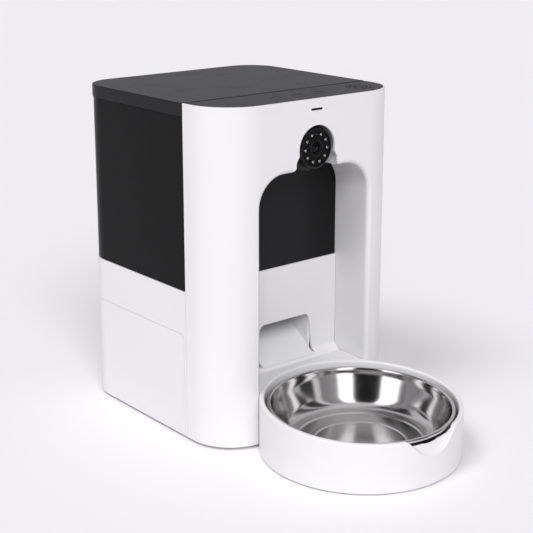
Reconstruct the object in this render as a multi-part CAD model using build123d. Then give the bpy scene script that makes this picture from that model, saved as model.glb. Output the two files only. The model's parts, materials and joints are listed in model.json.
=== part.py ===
"""Automatic pet feeder: white tower with a dark hopper, a camera, and a round bowl tray in front.

Frame: +X to the right seen from the front, the front faces -Y, +Z up. The origin is on the
floor under the centre of the whole object. All sizes are millimetres.
"""
from build123d import *
import math
import os

# Overall size of the tower
HEIGHT = 330.0
WIDTH = 230.0
DEPTH = 234.0
CORNER_FRONT = 46.6
CORNER_REAR = 35.0
UNDERSIDE = 3.0
SPLIT = 56.2
GAP = 0.4
WALL = 2.6

# Bowl tray in front of the tower
TRAY_R = 96.4
TRAY_AHEAD = 65.1
TRAY_WALL = 4.8
TRAY_FRONT_Z = 47.6
TRAY_SLOPE = 0.03
TRAY_FLOOR = 5.0
TONGUE_HALF = 68.3
TONGUE_END = 36.8
NOTCH_FLAT = 13.0
NOTCH_ROUND = 24.0
NOTCH_BOTTOM = 30.0
LEDGE_R = 87.6
LEDGE_HALF = 26.0

# Steel bowl
BOWL_RIM_R = 90.4
BOWL_RIM_Z = 45.5
BOWL_ROLL = 2.6
BOWL_SHEET = 0.9

# Niche in the front, over the tray
NICHE_HALF = 68.8
NICHE_TOP = 262.6
NICHE_CORNER = 30.0
NICHE_DEPTH = 48.2
NICHE_EDGE = 4.6
CHUTE_FACE = 46.6
CHUTE_TOP = 156.7
RAMP_RISE = 0.741
RAMP_HALF = 33.0
CHANNEL_BACK = 116.0
SHEET = 2.5

# Tower levels
BASE_SEAM = 106.4
COLLAR_TOP = 150.2
DECK_Z = 146.5
HOPPER_Z = 150.6
HOPPER_TOP = 317.0
HOPPER_INSET = 0.9
LID_Z = 317.4
PANEL_Z = 326.2
PANEL_TOP = 329.7
PANEL_INSET = 1.6

# Dosing rotor and its drive
ROTOR_DEPTH = 147.0
CHAMBER_R = 60.0
CHAMBER_TOP = 186.0
HUB_R = 14.0
HEX = 14.0
BLADES = 6
MODULE = 1.0
OUTPUT_TEETH = 40
IDLER_TEETH = 24
PINION_TEETH = 12
GEAR_Z = 122.0
GEAR_WIDTH = 10.0
CASE_Z = 116.0
CASE_TOP = 143.0
SHAFT_R = 4.0
RUNNING = 0.05

# Camera and control panel
CAMERA_Z = 282.5
CAMERA_R = 20.1
CAMERA_SINK = 0.8
INDICATOR_X = -1.2
INDICATOR_Z = 320.0
HOLE_R = 22.4
FLARE_HALF = 25.8
FLARE_TOP = 271.5
FLARE_CORNER = 4.5
BELL_R = 25.0
RECESS_R = 27.5
RECESS_DEPTH = 34.0
LED_COUNT = 10
LED_RING = 13.6
LED_R = 1.5
LED_START = 24.0
BUTTON_PITCH = 26.5
BUTTON_DEPTH = 27.0
BUTTON_R = 7.6
SPEAKER_X = 81.0
SPEAKER_DEPTH = 30.0
SPEAKER_R = 14.0
SLOT_WIDTH = 1.4
SLOT_BRIDGE = 3.4
SLOT_RINGS = [(4.3, 3), (8.3, 6), (12.3, 9)]
MIC_X = -86.0
MIC_DEPTH = 25.0

# Battery bay
BAY_HALF = 34.5
BAY_LOW = 8.0
BAY_HIGH = 84.0
BAY_START = 156.0
CELL_R = 16.6
CELL_LENGTH = 61.5

FRONT = (TRAY_AHEAD + TRAY_R - DEPTH) / 2
BACK = FRONT + DEPTH


def back(depth):
    """Y of a point that lies the given depth behind the front face."""
    return FRONT + depth


TRAY_Y = back(-TRAY_AHEAD)
ROTOR_Y = back(ROTOR_DEPTH)


def box(x0, x1, d0, d1, z0, z1):
    """Block between two X values, two depths and two heights."""
    centre = Pos((x0 + x1) / 2, back((d0 + d1) / 2), (z0 + z1) / 2)
    return centre * Box(x1 - x0, d1 - d0, z1 - z0)


def drum(x, y, radius, z0, z1):
    """Upright cylinder between two heights."""
    return Pos(x, y, (z0 + z1) / 2) * Cylinder(radius, z1 - z0)


def spool(x, y, inner, outer, z0, z1):
    """Upright tube between two heights."""
    return drum(x, y, outer, z0, z1) - drum(x, y, inner, z0 - 1, z1 + 1)


def plan(inset=0.0, start=0.0, end=DEPTH):
    """Outline of the tower seen from above, inset all round and cut to a range of depth."""
    face = Pos(0, back(DEPTH / 2)) * Rectangle(WIDTH - 2 * inset, DEPTH - 2 * inset)
    face = fillet(face.vertices().group_by(Axis.Y)[0], CORNER_FRONT - inset)
    face = fillet(face.vertices().group_by(Axis.Y)[-1], CORNER_REAR - inset)
    band = Pos(0, back((start + end) / 2)) * Rectangle(WIDTH + 2, end - start)
    return face & band


def prism(face, z0, z1):
    """Outline carried up between two heights."""
    return Pos(0, 0, z0) * extrude(face, z1 - z0)


def across(face, d0, d1):
    """Face drawn in X and Z, carried between two depths."""
    return Pos(0, back(d1), 0) * Rot(90, 0, 0) * extrude(face, d1 - d0)


def sideways(points, x0, x1):
    """Polygon of (depth, height) points, carried between two X values."""
    face = make_face(Polyline([(back(d), z) for d, z in points], close=True))
    return Pos(x0, 0, 0) * (Plane.YZ * extrude(face, x1 - x0))


def upright(half, z0, z1, corner):
    """Upright rectangle with its two top corners rounded."""
    face = Pos(0, (z0 + z1) / 2) * Rectangle(2 * half, z1 - z0)
    return fillet(face.vertices().group_by(Axis.Y)[-1], corner)


def peg(x, z, radius, d0, d1):
    """Cylinder along Y between two depths."""
    return across(Pos(x, z) * Circle(radius), d0, d1)


def rim_height(depth):
    """Height of the tray's sloping rim at a depth behind the front face."""
    return TRAY_FRONT_Z + TRAY_SLOPE * (depth + TRAY_AHEAD + TRAY_R)


# ---------------------------------------------------------------- tower shells
def make_niche_frame(outer, thick):
    """Surround of the niche's mouth, with its inner front edge rounded over."""
    mouth = across(upright(NICHE_HALF, UNDERSIDE - 1, NICHE_TOP, NICHE_CORNER), -1, thick + 1)
    frame = across(outer, 0, thick) - mouth
    edges = frame.edges().filter_by(lambda e: abs(e.center().Y - FRONT) < 0.01)
    edges = [e for e in edges if e.distance_to(mouth) < 0.01 and e.center().Z > UNDERSIDE + 1]
    return fillet(edges, NICHE_EDGE)


def make_front_shell():
    """White front cover with the niche tunnel and the camera recess moulded in."""
    outside = prism(plan(0, 0, SPLIT), UNDERSIDE, HEIGHT)
    skin = outside - prism(plan(WALL, 0, SPLIT + 20), UNDERSIDE - 1, HEIGHT + 1)
    skin -= prism(plan(PANEL_INSET, 0, SPLIT + 20), PANEL_Z, HEIGHT + 1)
    tunnel_top = NICHE_TOP + SHEET
    tunnel = across(upright(NICHE_HALF + SHEET, UNDERSIDE, tunnel_top, NICHE_CORNER), 0, NICHE_DEPTH)
    recess_face = Pos(0, CAMERA_Z) * Circle(RECESS_R + 2)
    recess_face += Pos(0, CAMERA_Z / 2 + NICHE_TOP / 2) * Rectangle(2 * RECESS_R + 4, CAMERA_Z - NICHE_TOP)
    recess = across(recess_face, 0, RECESS_DEPTH + 2)
    grow = NICHE_EDGE + 2
    frame_face = upright(NICHE_HALF + grow, UNDERSIDE, NICHE_TOP + grow, NICHE_CORNER + grow)
    shell = skin + tunnel + recess - across(frame_face, -1, grow)
    shell = (shell + make_niche_frame(frame_face, grow)) & outside
    shell -= across(upright(NICHE_HALF, UNDERSIDE - 1, NICHE_TOP, NICHE_CORNER), 2, SPLIT + 1)
    room_face = Pos(0, CAMERA_Z) * Circle(RECESS_R)
    room_face += Pos(0, CAMERA_Z / 2 + NICHE_TOP / 2 - 4) * Rectangle(2 * RECESS_R, CAMERA_Z - NICHE_TOP + 8)
    shell -= across(room_face, WALL, RECESS_DEPTH)
    shell -= across(camera_opening(), -1, WALL + 3)
    return shell - across(indicator_slot(), -1, WALL + 1)


def camera_opening():
    """Opening in the front for the camera, which flares out into the top of the niche."""
    low = NICHE_TOP - 6
    flare = make_face(Polyline([(-FLARE_HALF, low), (-FLARE_HALF, FLARE_TOP), (-HOLE_R + 1, FLARE_TOP + 7),
                                (HOLE_R - 1, FLARE_TOP + 7), (FLARE_HALF, FLARE_TOP), (FLARE_HALF, low)], close=True))
    knees = flare.vertices().filter_by(lambda v: abs(v.Y - FLARE_TOP) < 0.01)
    opening = Pos(0, CAMERA_Z) * Circle(HOLE_R) + fillet(knees, 3.0)
    for side in (-1, 1):
        centre = Pos(side * (FLARE_HALF + FLARE_CORNER), NICHE_TOP + FLARE_CORNER)
        square = Pos(side * (FLARE_HALF + FLARE_CORNER / 2), NICHE_TOP + FLARE_CORNER / 2 - 2)
        opening += square * Rectangle(FLARE_CORNER + 0.2, FLARE_CORNER + 4) - centre * Circle(FLARE_CORNER)
    return opening


def indicator_slot():
    """Outline of the status light in the front."""
    return Pos(INDICATOR_X, INDICATOR_Z) * SlotOverall(14.3, 2.2)


def rear_wall():
    """Wall of the tower behind the front cover, up to the hopper."""
    wall = prism(plan(0, SPLIT + GAP, DEPTH), UNDERSIDE, COLLAR_TOP)
    return wall - prism(plan(WALL, SPLIT - 10, DEPTH), UNDERSIDE - 1, COLLAR_TOP + 1)


def base_panel(grow):
    """Block that marks off the lower rear shell, with its upper front corner rounded."""
    start = SPLIT + GAP + 3.4 - grow
    top = BASE_SEAM + grow
    face = Pos(back((start + DEPTH + 5) / 2), top / 2) * Rectangle(DEPTH + 5 - start, top)
    corner = face.vertices().sort_by(lambda v: v.Y - v.X)[-1]
    face = fillet([corner], 5.0)
    return Plane.YZ * extrude(face, WIDTH, both=True)


def make_base_shell():
    """Lower rear shell with the battery opening, the power opening and screw bosses."""
    shell = rear_wall() & base_panel(0)
    for x, depth in SCREWS:
        shell += drum(x, back(depth), 4.3, UNDERSIDE + 3.1, 30)
        shell -= drum(x, back(depth), 1.6, UNDERSIDE, 26)
    shell -= box(-BAY_HALF, BAY_HALF, DEPTH - 10, DEPTH + 1, BAY_LOW, BAY_HIGH)
    return shell - box(62.6, 73.4, DEPTH - 10, DEPTH + 1, 19.6, 30.4)


def make_hopper_collar():
    """Upper band of the rear shell that the hopper stands in."""
    return rear_wall() - base_panel(GAP)


def make_bottom_cover():
    """Floor plate of the tower, cut away under the niche."""
    plate = prism(plan(WALL + 0.3), UNDERSIDE, UNDERSIDE + 3)
    clear = NICHE_HALF + NICHE_EDGE + 2.4
    plate -= box(-clear, clear, -1, CHUTE_FACE + 3, 0, 20)
    for x, depth in SCREWS:
        plate -= drum(x, back(depth), 1.8, 0, 20)
        plate -= drum(x, back(depth), 3.4, 0, UNDERSIDE + 1.8)
    return plate


def make_bottom_screws():
    """Countersunk screws that hold the floor plate."""
    screws = []
    for x, depth in SCREWS:
        head = drum(x, back(depth), 3.0, UNDERSIDE + 0.2, UNDERSIDE + 1.8)
        head -= Pos(x, back(depth), UNDERSIDE + 0.5) * Box(4, 0.8, 1.2)
        head -= Pos(x, back(depth), UNDERSIDE + 0.5) * Box(0.8, 4, 1.2)
        screws.append(head + drum(x, back(depth), 1.5, UNDERSIDE + 1.8, 24))
    return Compound(screws)


def make_rubber_feet():
    """Four round feet under the tower."""
    return Compound([drum(x, back(depth), 8, 0, UNDERSIDE) for x, depth in FEET])


def make_deck_plate():
    """Deck across the tower that carries the hopper, with the food outlet."""
    deck = prism(plan(WALL + 0.3, CHUTE_FACE + 5, DEPTH - 3), DECK_Z, DECK_Z + 3)
    deck -= box(-26, 26, 89, CHANNEL_BACK, 140, 155)
    return deck - drum(0, ROTOR_Y, 12, 140, 155)


def make_niche_window():
    """Dark window at the back of the niche, in front of the hopper."""
    face = upright(NICHE_HALF + 2, CHUTE_TOP + 0.4, NICHE_TOP + 2, NICHE_CORNER)
    return across(face, NICHE_DEPTH + 0.2, NICHE_DEPTH + 2.4)


def make_chute_insert():
    """White block under the window with the food opening, its ramp and the channel behind."""
    plate = box(-NICHE_HALF + 0.4, NICHE_HALF - 0.4, CHUTE_FACE, CHUTE_FACE + SHEET, UNDERSIDE, CHUTE_TOP)
    plate = fillet(plate.edges().filter_by(Axis.X).sort_by(lambda e: e.center().Z - e.center().Y)[-1], 1.8)
    lip_z = rim_height(TONGUE_END) + 0.2
    lip = [(CHUTE_FACE, UNDERSIDE + 20), (CHUTE_FACE, 61.6), (TONGUE_END + 0.6, lip_z), (TONGUE_END + 0.6, lip_z - 3)]
    plate += sideways(lip, -NICHE_HALF + 0.4, NICHE_HALF - 0.4)
    plate -= sideways([(TONGUE_END, 0), (CHUTE_FACE, 0), (CHUTE_FACE, lip_z - 6)], -80, 80)
    mouth = make_face(Polyline([(-37.5, 58), (-32, 100.5), (32, 100.5), (37.5, 58)], close=True))
    mouth = fillet(mouth.vertices().group_by(Axis.Y)[-1], 7)
    plate -= across(mouth, TONGUE_END - 2, CHUTE_FACE + SHEET + 1)
    start = CHUTE_FACE - 6
    end_z = 59.0 + RAMP_RISE * (CHANNEL_BACK - start)
    ramp = [(start, 56.5), (start, 59.0), (CHANNEL_BACK, end_z), (CHANNEL_BACK, end_z - 3.2)]
    channel = sideways(ramp, -RAMP_HALF, RAMP_HALF)
    cheek = [(CHUTE_FACE + SHEET, 57), (CHUTE_FACE + SHEET, DECK_Z - 0.3)]
    cheek += [(CHANNEL_BACK + SHEET, DECK_Z - 0.3), (CHANNEL_BACK + SHEET, end_z - 4)]
    channel += sideways(cheek, RAMP_HALF, RAMP_HALF + SHEET)
    channel += sideways(cheek, -RAMP_HALF - SHEET, -RAMP_HALF)
    channel += box(-RAMP_HALF, RAMP_HALF, CHANNEL_BACK, CHANNEL_BACK + SHEET, end_z - 4, DECK_Z - 0.3)
    return plate + channel


# ---------------------------------------------------------------- control panel
def button_places():
    """X of each button on the control panel."""
    return [-BUTTON_PITCH, 0.0, BUTTON_PITCH]


def make_control_panel():
    """Dark top panel with button holes, a microphone hole and the speaker's slots."""
    panel = prism(plan(PANEL_INSET + 0.1, 0, SPLIT), PANEL_Z, PANEL_TOP)
    for x in button_places():
        panel -= drum(x, back(BUTTON_DEPTH), BUTTON_R + 0.35, PANEL_Z - 1, HEIGHT + 1)
    panel -= drum(MIC_X, back(MIC_DEPTH), 0.9, PANEL_Z - 1, HEIGHT + 1)
    for slot in speaker_slots():
        panel -= prism(Pos(SPEAKER_X, back(SPEAKER_DEPTH)) * slot, PANEL_Z - 1, HEIGHT + 1)
    return panel


def speaker_slots():
    """Curved slots in three rings over the loudspeaker, about its centre."""
    slots = [Circle(SLOT_WIDTH / 2)]
    for radius, count in SLOT_RINGS:
        step = 360 / count
        span = step - math.degrees(SLOT_BRIDGE / radius)
        slots += [SlotArc(CenterArc((0, 0), radius, step * i, span), SLOT_WIDTH) for i in range(count)]
    return slots


def make_button(x):
    """Round push button with a collar that stops it under the panel."""
    cap = drum(x, back(BUTTON_DEPTH), BUTTON_R, PANEL_Z - 0.3, PANEL_TOP + 0.2)
    return cap + drum(x, back(BUTTON_DEPTH), BUTTON_R + 1.2, PANEL_Z - 1.5, PANEL_Z - 0.3)


def make_button_board():
    """Circuit board under the buttons."""
    return box(-44, 44, 14, 40, 319.2, 320.8)


def make_button_switches():
    """Three tactile switches under the buttons."""
    switches = []
    for x in button_places():
        body = Pos(x, back(BUTTON_DEPTH), 322.0) * Box(6, 6, 2.4)
        switches.append(body + drum(x, back(BUTTON_DEPTH), 1.7, 323.2, 323.7))
    return Compound(switches)


def make_speaker():
    """Loudspeaker under the slots."""
    y = back(SPEAKER_DEPTH)
    return drum(SPEAKER_X, y, SPEAKER_R, 321, PANEL_Z - 0.2) + drum(SPEAKER_X, y, 8, 313, 321)


def make_microphone():
    """Microphone capsule under its hole."""
    return drum(MIC_X, back(MIC_DEPTH), 3, 322.5, PANEL_Z - 0.1)


def make_indicator_lens():
    """Slim dark lens over the status light in the front."""
    return across(indicator_slot(), 0.2, WALL)


# ---------------------------------------------------------------- camera
def turned(points):
    """Solid of revolution about the camera's axis, from (radius, depth) points."""
    face = make_face(Polyline([(r, -d) for r, d in points], close=True))
    solid = revolve(Plane.XZ * face, Axis.Z)
    return Pos(0, back(CAMERA_SINK), CAMERA_Z) * Rot(90, 0, 0) * solid


def eye(x, z, radius, d0, d1):
    """Cylinder along Y in the camera, from its axis and between two depths behind its face."""
    return peg(x, CAMERA_Z + z, radius, CAMERA_SINK + d0, CAMERA_SINK + d1)


def make_camera_housing():
    """Black bell behind the camera's face."""
    end = RECESS_DEPTH - CAMERA_SINK
    points = [(0, 2.4), (17.6, 2.4), (17.6, 4.2), (19.6, 4.2), (20.3, 8), (23.2, 12.5), (BELL_R, 17), (BELL_R, end), (0, end)]
    return turned(points) - eye(0, 0, 7.5, 2, 20) - eye(0, 0, 22, 26, end + 1)


def make_camera_bezel():
    """Round bezel with a sloping edge, just behind the front."""
    return turned([(17.7, 0.8), (18.3, 0.2), (CAMERA_R, 2.6), (CAMERA_R, 4.2), (17.7, 4.2)])


def make_led_plate():
    """Dark plate that holds the infrared lights round the lens."""
    plate = eye(0, 0, 17.6, 1.0, 2.4) - eye(0, 0, 8.4, 0, 3)
    for x, z in led_places():
        plate -= eye(x, z, LED_R + 0.1, 0, 3)
    return plate - eye(0, LED_RING, 1.6, 0, 3)


def led_places():
    """Place of each infrared light from the camera's axis, evenly round the ring but for its top."""
    step = (360 - 2 * LED_START) / (LED_COUNT - 1)
    angles = [math.radians(LED_START + step * i) for i in range(LED_COUNT)]
    return [(LED_RING * math.sin(a), LED_RING * math.cos(a)) for a in angles]


def make_camera_leds():
    """Infrared lights, one dome each."""
    return Compound([eye(x, z, LED_R, 0.8, 2.4) for x, z in led_places()])


def make_light_sensor():
    """Daylight sensor at the top of the ring."""
    return eye(0, LED_RING, 1.5, 1.2, 2.4)


def make_lens_ring():
    """Ring that holds the lens."""
    return turned([(5.9, 1.4), (6.6, 0.6), (8.2, 0.4), (8.2, 2.4), (7.4, 2.4), (7.4, 12), (5.9, 12)])


def make_camera_lens():
    """Glass lens, domed to the front."""
    ball = Pos(0, back(CAMERA_SINK + 9.5), CAMERA_Z) * Sphere(8.5)
    return ball & eye(0, 0, 5.8, 0, 6)


def make_camera_board():
    """Camera's circuit board in the back of the bell."""
    return eye(0, 0, 21, 26.2, 27.8)


# ---------------------------------------------------------------- hopper and lid
def make_hopper():
    """Dark food tank with an outlet in its floor."""
    start = SPLIT + 0.6
    tank = prism(plan(HOPPER_INSET, start, DEPTH), HOPPER_Z, HOPPER_TOP)
    tank -= prism(plan(HOPPER_INSET + WALL, start + WALL, DEPTH), HOPPER_Z + SHEET, HOPPER_TOP + 1)
    tank -= box(-24, 24, 91, CHANNEL_BACK - 2, 140, 160)
    return tank - drum(0, ROTOR_Y, 11, 140, 160)


def tank_inside(inset, z):
    """Outline inside the tank's walls at a height."""
    start = SPLIT + 0.6 + WALL + inset
    return Pos(0, 0, z) * plan(HOPPER_INSET + WALL + inset, start, DEPTH)


def make_funnel():
    """Sloping floor inside the tank, from the walls down to the dosing chamber."""
    low = CHAMBER_TOP + 0.2
    high = low + 52
    flare = []
    for inset, radius in ((0.3, CHAMBER_R + 2.5), (2.6, CHAMBER_R + 0.2)):
        ring = Pos(0, ROTOR_Y, low) * RectangleRounded(2 * radius, 2 * radius, radius - 0.1)
        wall = Pos(0, (back(SPLIT + 3.2) + BACK - 3.5) / 2, high)
        wall *= RectangleRounded(WIDTH - 7 - 2 * inset, DEPTH - SPLIT - 6.9 - 2 * inset, 32 - inset)
        flare.append(loft([ring, wall], ruled=True))
    return flare[0] - flare[1]


def make_dosing_chamber():
    """Round wall that the rotor turns in."""
    return spool(0, ROTOR_Y, CHAMBER_R, CHAMBER_R + 2.3, HOPPER_Z + SHEET, CHAMBER_TOP)


def make_outlet_guard():
    """Plate over the outlet that keeps loose food out of the pocket being emptied."""
    plate = drum(0, ROTOR_Y, CHAMBER_R, CHAMBER_TOP - 2.4, CHAMBER_TOP - 0.4)
    plate -= drum(0, ROTOR_Y, 17, 150, 200)
    wedge = make_face(Polyline([(0, 0), (-60, -72), (60, -72)], close=True))
    return plate & prism(Pos(0, ROTOR_Y) * wedge, 150, 200)


def make_rotor_hub():
    """Hub with a hexagonal socket for the drive and a domed top."""
    hub = drum(0, ROTOR_Y, HUB_R, HOPPER_Z + SHEET + 0.4, 182)
    hub += Pos(0, ROTOR_Y, 187) * Cone(HUB_R, 5, 10)
    return hub - prism(Pos(0, ROTOR_Y) * RegularPolygon(HEX / 2 + 0.4, 6, major_radius=False), 150, 167)


def make_rotor_blades():
    """Soft blades on a sleeve round the hub."""
    low = HOPPER_Z + SHEET + 0.6
    rotor = spool(0, ROTOR_Y, HUB_R, HUB_R + 2.2, low, 182)
    for i in range(BLADES):
        blade = Pos(CHAMBER_R / 2 + 7, 0, (low + 182) / 2) * Box(CHAMBER_R - 17, 2.6, 182 - low)
        rotor += Pos(0, ROTOR_Y, 0) * Rot(0, 0, 360 / BLADES * (i + 0.5) + 90) * blade
    return rotor


def make_lid():
    """Lift-off lid with a skirt over the tank and a lip inside it."""
    start = SPLIT + 0.5
    lid = prism(plan(0, start, DEPTH), LID_Z, HEIGHT)
    lid = chamfer(lid.faces().sort_by(Axis.Z)[-1].edges(), 0.7)
    lid -= prism(plan(2.4, start + 2.4, DEPTH), LID_Z - 1, HEIGHT - SHEET)
    lip = prism(plan(5, start + 5, DEPTH), LID_Z - 9, HEIGHT - SHEET)
    lip -= prism(plan(7, start + 7, DEPTH), LID_Z - 10, HEIGHT - SHEET)
    return lid + lip


def make_lid_seal():
    """Soft ring round the lid's lip."""
    start = SPLIT + 0.6 + WALL + 0.3
    seal = prism(plan(HOPPER_INSET + WALL + 0.3, start, DEPTH), LID_Z - 7, LID_Z - 3)
    return seal - prism(plan(5, SPLIT + 5.5, DEPTH), LID_Z - 8, LID_Z)


def make_desiccant_box():
    """Round holder for a drying sachet, under the lid."""
    top = HEIGHT - SHEET
    return drum(0, ROTOR_Y, 35, top - 16, top) - drum(0, ROTOR_Y, 33, top - 17, top - 2)


def make_desiccant_sachet():
    """Drying sachet inside its holder."""
    top = HEIGHT - SHEET
    return drum(0, ROTOR_Y, 28, top - 12, top - 4)


def make_desiccant_cover():
    """Slotted cover that twists onto the holder."""
    top = HEIGHT - SHEET - 16.4
    cover = drum(0, ROTOR_Y, 36, top - 2.2, top)
    for i in range(8):
        slot = prism(Pos(20, 0) * SlotOverall(18, 3), 0, 400)
        cover -= Pos(0, ROTOR_Y, 0) * Rot(0, 0, 45 * i) * slot
    return cover - Pos(0, ROTOR_Y, top - 2.2) * Box(14, 2, 2)


# ---------------------------------------------------------------- drive
def involute(angle):
    """Involute function of a pressure angle."""
    return math.tan(angle) - angle


def make_gear(teeth, x, y, tooth_at, bore):
    """Spur gear with thinned involute teeth, one tooth centred on the given angle."""
    pitch_r = MODULE * teeth / 2
    base_r = pitch_r * math.cos(math.radians(20))
    half_tooth = math.pi / (2 * teeth) - 0.12 / pitch_r + involute(math.radians(20))
    radii = [pitch_r + MODULE * f for f in (-1.0, -0.5, 0.0, 0.5, 0.9)]
    half_angles = []
    for r in radii:
        pressure = math.acos(min(1.0, base_r / r))
        half_angles.append(half_tooth - involute(pressure))
    points = []
    for i in range(teeth):
        mid = math.radians(tooth_at) + 2 * math.pi * i / teeth
        flank = list(zip(radii, half_angles))
        root = pitch_r - 1.25 * MODULE
        points.append((root, mid - half_angles[0]))
        points += [(r, mid - a) for r, a in flank]
        points += [(r, mid + a) for r, a in reversed(flank)]
        points.append((root, mid + half_angles[0]))
    outline = Polyline([(r * math.cos(a), r * math.sin(a)) for r, a in points], close=True)
    gear = prism(Pos(x, y) * make_face(outline), GEAR_Z, GEAR_Z + GEAR_WIDTH)
    return gear - drum(x, y, bore, GEAR_Z - 1, GEAR_Z + GEAR_WIDTH + 1)


IDLER_Y = ROTOR_Y + MODULE * (OUTPUT_TEETH + IDLER_TEETH) / 2
PINION_Y = IDLER_Y + MODULE * (IDLER_TEETH + PINION_TEETH) / 2


def make_output_gear():
    """Large gear on the drive shaft."""
    return make_gear(OUTPUT_TEETH, 0, ROTOR_Y, 90, SHAFT_R)


def make_idler_gear():
    """Middle gear, with a gap facing each neighbour."""
    return make_gear(IDLER_TEETH, 0, IDLER_Y, 90 + 180 / IDLER_TEETH, 2 + RUNNING)


def make_motor_pinion():
    """Pinion with the motor's shaft in it."""
    pinion = make_gear(PINION_TEETH, 0, PINION_Y, 90, 1.5)
    return pinion + drum(0, PINION_Y, 1.5, CASE_Z + 0.3, GEAR_Z + GEAR_WIDTH + 3)


def make_idler_pin():
    """Steel pin that the middle gear turns on."""
    return drum(0, IDLER_Y, 2, CASE_Z + SHEET, CASE_TOP)


def make_drive_shaft():
    """Upright steel shaft of the rotor drive."""
    return drum(0, ROTOR_Y, SHAFT_R, CASE_Z - 1, 150)


def make_shaft_bushes():
    """Two bushes that the shaft turns in."""
    low = spool(0, ROTOR_Y, SHAFT_R + RUNNING, 7, CASE_Z, CASE_Z + SHEET + 2)
    high = spool(0, ROTOR_Y, SHAFT_R + RUNNING, 7, CASE_TOP - 2, CASE_TOP + SHEET)
    return Compound([low, high])


def make_drive_coupling():
    """Hexagonal driver that stands up through the deck into the rotor."""
    driver = drum(0, ROTOR_Y, 9.5, CASE_TOP + SHEET + 0.5, HOPPER_Z + SHEET)
    driver += prism(Pos(0, ROTOR_Y) * RegularPolygon(HEX / 2, 6, major_radius=False), HOPPER_Z + 2, 165)
    return driver - drum(0, ROTOR_Y, SHAFT_R, 140, 150)


def make_gearbox_case():
    """Open tray that holds the gears."""
    start = CHANNEL_BACK + SHEET + 3
    case = box(-26, 26, start, start + 88, CASE_Z, CASE_TOP)
    case -= box(-23.5, 23.5, start + 2.5, start + 85.5, CASE_Z + SHEET, CASE_TOP + 1)
    case -= drum(0, ROTOR_Y, 7, 100, 150)
    return case - drum(0, PINION_Y, 3, 100, 130)


def make_gearbox_cover():
    """Cover plate over the gears."""
    start = CHANNEL_BACK + SHEET + 3
    return box(-26, 26, start, start + 88, CASE_TOP, CASE_TOP + SHEET) - drum(0, ROTOR_Y, 7, 100, 150)


def make_motor():
    """Round direct-current motor under the gearbox."""
    return drum(0, PINION_Y, 13.8, CASE_Z - 28, CASE_Z) + drum(0, PINION_Y, 4, CASE_Z - 30, CASE_Z - 28)


# ---------------------------------------------------------------- electronics and battery
def make_main_board():
    """Main circuit board lying on the right of the base."""
    return box(44, 98, 92, 186, 14, 15.6)


def make_board_parts():
    """Tall parts on the main board."""
    parts = [box(50, 68, 100, 118, 15.6, 18.6), box(74, 90, 100, 125, 15.6, 19)]
    parts += [drum(x, back(150), 4, 15.6, 27) for x in (54, 66, 78)]
    parts.append(box(60, 86, 165, 180, 15.6, 26))
    return Compound(parts)


def make_power_inlet():
    """Socket for the power lead in the rear wall."""
    inlet = box(62.8, 73.2, DEPTH - 14, DEPTH - 0.4, 19.8, 30.2)
    inlet -= peg(68, 25, 3.2, DEPTH - 9, DEPTH + 1)
    return inlet + peg(68, 25, 1.0, DEPTH - 9.5, DEPTH - 1.4)


def make_drop_sensors():
    """Light gate across the chute that counts falling food."""
    return Compound([box(s * 38.3 - 2.7, s * 38.3 + 2.7, 84, 94, 118, 126) for s in (-1, 1)])


def make_battery_box():
    """Bay for the backup cells, open to the rear."""
    outer = BAY_HALF - 0.3
    bay = box(-outer, outer, BAY_START, DEPTH - 4, BAY_LOW + 0.3, BAY_HIGH - 0.3)
    return bay - box(-outer + 2, outer - 2, BAY_START + 2, DEPTH, BAY_LOW + 2.3, BAY_HIGH - 2.3)


def make_battery_cells():
    """Four cells, two by two."""
    cells = []
    for row in range(2):
        for column in range(2):
            z = BAY_LOW + 3.0 + CELL_R + row * (2 * CELL_R + 1)
            y = back(BAY_START + 2.6 + CELL_R + column * (2 * CELL_R + 0.6))
            cell = Pos(0, y, z) * Rot(0, 90, 0) * Cylinder(CELL_R, CELL_LENGTH - 1.5)
            cells.append(cell + Pos(CELL_LENGTH / 2 - 0.1, y, z) * Rot(0, 90, 0) * Cylinder(4.5, 1.3))
    return Compound(cells)


def make_battery_door():
    """Clip-off door of the battery bay, with a finger dip."""
    door = box(-BAY_HALF + 0.3, BAY_HALF - 0.3, DEPTH - 2.6, DEPTH - 0.2, BAY_LOW + 0.3, BAY_HIGH - 0.3)
    return door - peg(0, BAY_HIGH - 8, 9, DEPTH - 1.2, DEPTH + 1)


# ---------------------------------------------------------------- tray and bowl
def make_bowl_tray():
    """Round tray with a tongue that fills the floor of the niche."""
    tray = drum(0, TRAY_Y, TRAY_R, 1, 70)
    tray -= box(-WIDTH, -TONGUE_HALF, -0.5, 60, 0, 80) + box(TONGUE_HALF, WIDTH, -0.5, 60, 0, 80)
    tray += box(-TONGUE_HALF, TONGUE_HALF, -TRAY_AHEAD, TONGUE_END, 1, 70)
    low = -TRAY_AHEAD - TRAY_R - 1
    above = [(low, rim_height(low)), (60, rim_height(60)), (60, 90), (low, 90)]
    tray -= sideways(above, -WIDTH, WIDTH)
    inner = TRAY_R - TRAY_WALL
    tray -= drum(0, TRAY_Y, inner, TRAY_FLOOR, 80)
    hollow = box(-TONGUE_HALF + 3, TONGUE_HALF - 3, -TRAY_AHEAD, TONGUE_END - 3, 0, 45)
    tray -= hollow - drum(0, TRAY_Y, TRAY_R, 0, 50)
    ledge = spool(0, TRAY_Y, LEDGE_R, inner + 1, TRAY_FLOOR - 1, NOTCH_BOTTOM + 3)
    tray += ledge & box(-LEDGE_HALF, LEDGE_HALF, low, low + 30, 0, 80)
    wide = NOTCH_FLAT + 40
    notch = make_face(Polyline([(-wide, NOTCH_BOTTOM + 40), (-NOTCH_FLAT, NOTCH_BOTTOM),
                                (NOTCH_FLAT, NOTCH_BOTTOM), (wide, NOTCH_BOTTOM + 40)], close=True))
    notch = fillet(notch.vertices().group_by(Axis.Y)[0], NOTCH_ROUND)
    return tray - across(notch, low, low + 20)


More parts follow.
